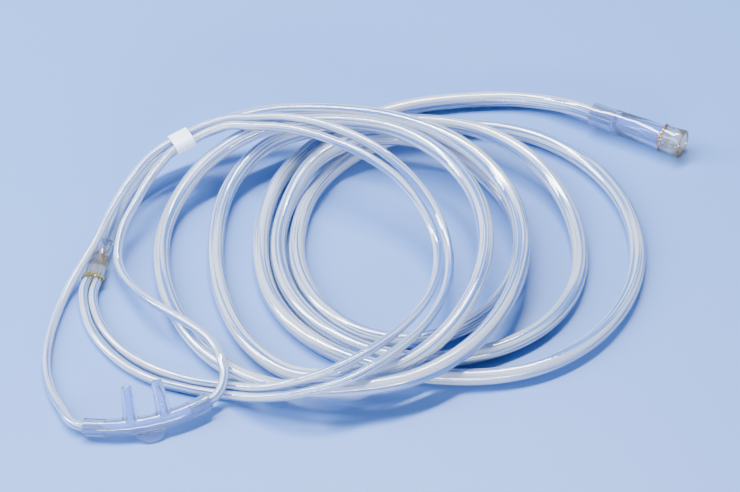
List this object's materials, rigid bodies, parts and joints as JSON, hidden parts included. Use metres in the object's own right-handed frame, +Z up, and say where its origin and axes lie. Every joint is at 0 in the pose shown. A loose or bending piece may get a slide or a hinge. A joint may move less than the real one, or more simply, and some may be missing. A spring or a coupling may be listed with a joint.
{
  "type": "nasal oxygen cannula",
  "caption": "Clear nasal oxygen cannula lying coiled: prong piece, thin loop tubes with a sliding sleeve, Y connector, long supply tube and a flared end connector.",
  "frame": {"origin": "on the surface that the part lies on, under the middle of its four fittings", "axes": "+X along the longest side of the coiled part, from the prong piece's side towards the funnel connector; +Y away from the prong piece; +Z up"},
  "size_m": [0.2578, 0.1921, 0.0286],
  "materials": {
    "clear_tube_pvc": "clear soft PVC, glossy",
    "clear_soft_moulding": "clear soft PVC moulding, glossy",
    "clear_firm_moulding": "clear firm PVC moulding with a faint amber solvent tint",
    "milky_sleeve_pvc": "milky translucent PVC, satin"
  },
  "bodies": {
    "root": {"nasal_prong_piece": "clear_soft_moulding", "lariat_tube_left": "clear_tube_pvc", "lariat_tube_right": "clear_tube_pvc", "y_connector": "clear_firm_moulding", "supply_tube": "clear_tube_pvc", "funnel_connector": "clear_firm_moulding"},
    "slider": {"slider": "milky_sleeve_pvc"}
  },
  "joints": [
    {"name": "slider_slide", "type": "slide", "parent": "root", "child": "slider", "axis": [0.8667, 0.4608, 0.1908], "range_m": [0, 0.006]}
  ]
}
